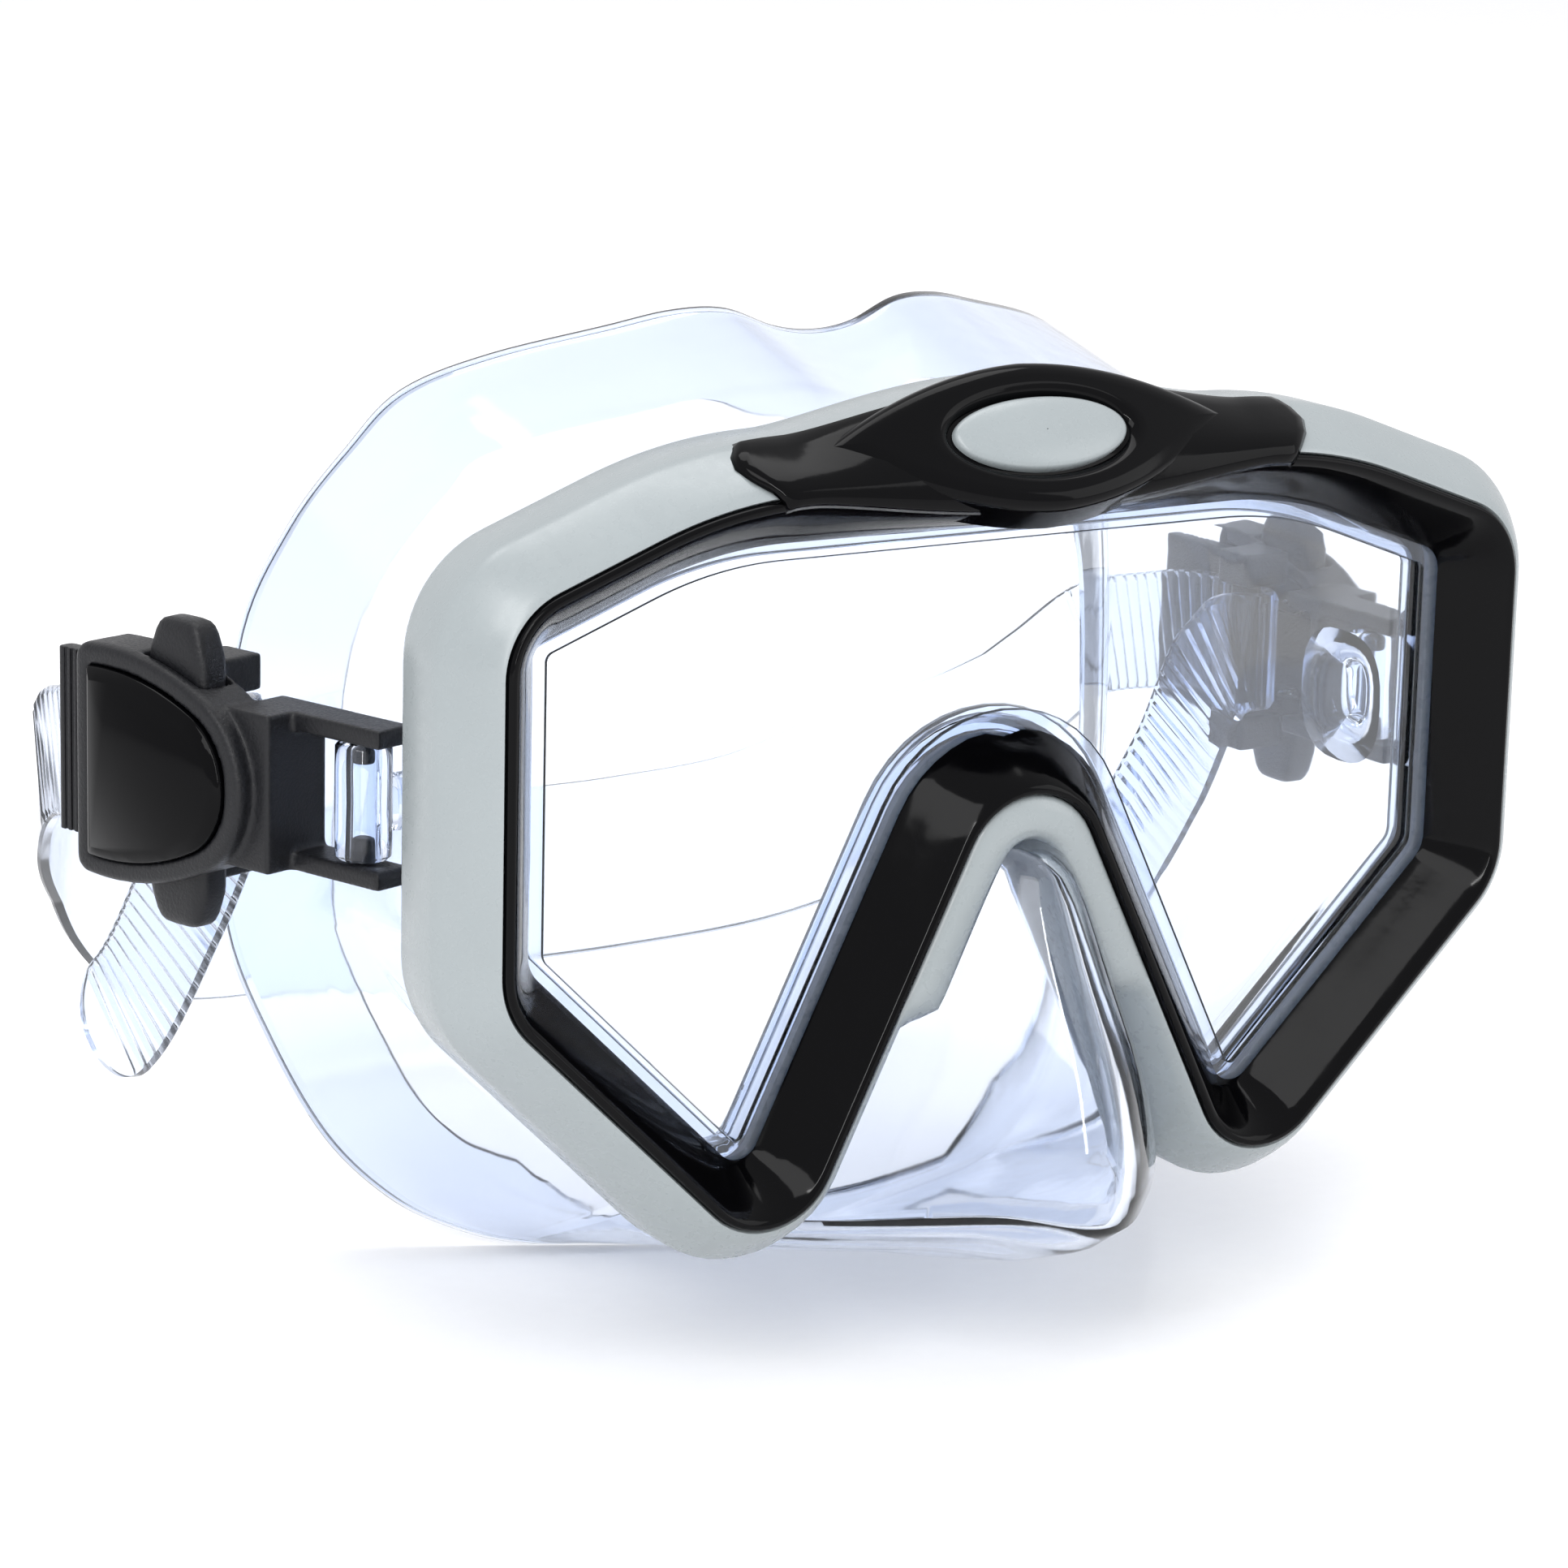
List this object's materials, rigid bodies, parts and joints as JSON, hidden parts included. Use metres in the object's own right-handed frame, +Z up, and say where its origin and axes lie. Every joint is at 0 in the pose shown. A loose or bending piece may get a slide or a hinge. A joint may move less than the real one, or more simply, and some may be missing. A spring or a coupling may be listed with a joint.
{
  "type": "diving mask",
  "caption": "Single-lens diving mask: glass in a notched two-colour frame, clear skirt with nose pocket, swivelling push-button buckles and a clear strap",
  "frame": {"origin": "Middle of the face seal: on the centre plane at eye height, where the seal meets the brow", "axes": "+Y points back to the wearer's head, -Y is the way they look, +Z is up, +X is the wearer's left"},
  "size_m": [0.1885, 0.1754, 0.1234],
  "materials": {
    "bezel_black": "injection-moulded polycarbonate, high gloss",
    "trim_grey": "injection-moulded plastic, satin gloss",
    "lens_glass": "tempered flat glass, polished",
    "clear_pvc": "clear moulded PVC, glossy",
    "buckle_black": "spark-textured acetal",
    "cap_black": "polished plastic",
    "spring_steel": "stainless spring wire"
  },
  "bodies": {
    "mask": {"front_bezel": "bezel_black", "trim_frame": "trim_grey", "brow_bridge": "bezel_black", "brow_pad": "bezel_black", "brow_badge": "trim_grey", "lens": "lens_glass", "skirt": "clear_pvc", "strap": "clear_pvc"},
    "left_buckle": {"left_buckle_body": "buckle_black", "left_buckle_cap": "cap_black", "left_strap_guide": "buckle_black", "left_button_spring": "spring_steel"},
    "left_upper_push": {"left_upper_button": "buckle_black"},
    "left_lower_push": {"left_lower_button": "buckle_black"},
    "left_pawl": {"left_lock_pawl": "buckle_black"},
    "left_roller": {"left_strap_roller": "buckle_black"},
    "right_buckle": {"right_buckle_body": "buckle_black", "right_buckle_cap": "cap_black", "right_strap_guide": "buckle_black", "right_button_spring": "spring_steel"},
    "right_upper_push": {"right_upper_button": "buckle_black"},
    "right_lower_push": {"right_lower_button": "buckle_black"},
    "right_pawl": {"right_lock_pawl": "buckle_black"},
    "right_roller": {"right_strap_roller": "buckle_black"}
  },
  "joints": [
    {"name": "left_swivel", "type": "hinge", "parent": "mask", "child": "left_buckle", "pos_m": [-0.0775, -0.023, -0.005], "axis": [0, 0, 1], "range_deg": [-20, 77], "deforming": ["strap"]},
    {"name": "left_upper_squeeze", "type": "slide", "parent": "left_buckle", "child": "left_upper_push", "axis": [0, 0, -1], "range_m": [0, 0.002], "stiffness_N_per_m": 400, "springref_m": -0.002, "deforming": ["left_button_spring"]},
    {"name": "left_lower_squeeze", "type": "slide", "parent": "left_buckle", "child": "left_lower_push", "axis": [0, 0, 1], "range_m": [0, 0.002]},
    {"name": "left_pawl_lift", "type": "hinge", "parent": "left_buckle", "child": "left_pawl", "pos_m": [-0.08643, -0.0075, -0.005], "axis": [0, 0, 1], "range_deg": [0, 8.05]},
    {"name": "left_roller_turn", "type": "hinge", "parent": "left_buckle", "child": "left_roller", "pos_m": [-0.08363, 0.00235, -0.005], "axis": [0, 0, 1], "continuous": true},
    {"name": "right_swivel", "type": "hinge", "parent": "mask", "child": "right_buckle", "pos_m": [0.0775, -0.023, -0.005], "axis": [0, 0, -1], "range_deg": [0, 97], "deforming": ["strap"]},
    {"name": "right_upper_squeeze", "type": "slide", "parent": "right_buckle", "child": "right_upper_push", "axis": [0, 0, -1], "range_m": [0, 0.002], "stiffness_N_per_m": 400, "springref_m": -0.002, "deforming": ["right_button_spring"]},
    {"name": "right_lower_squeeze", "type": "slide", "parent": "right_buckle", "child": "right_lower_push", "axis": [0, 0, 1], "range_m": [0, 0.002]},
    {"name": "right_pawl_lift", "type": "hinge", "parent": "right_buckle", "child": "right_pawl", "pos_m": [0.08059, -0.00538, -0.005], "axis": [0, 0, -1], "range_deg": [0, 8.05]},
    {"name": "right_roller_turn", "type": "hinge", "parent": "right_buckle", "child": "right_roller", "pos_m": [0.07459, 0.00291, -0.005], "axis": [0, 0, 1], "continuous": true}
  ],
  "couplings": [
    {"joint": "left_lower_squeeze", "follows": "left_upper_squeeze", "ratio": 1},
    {"joint": "left_pawl_lift", "follows": "left_upper_squeeze", "rad_per_m": 69.813},
    {"joint": "right_lower_squeeze", "follows": "right_upper_squeeze", "ratio": 1},
    {"joint": "right_pawl_lift", "follows": "right_upper_squeeze", "rad_per_m": 69.813}
  ]
}
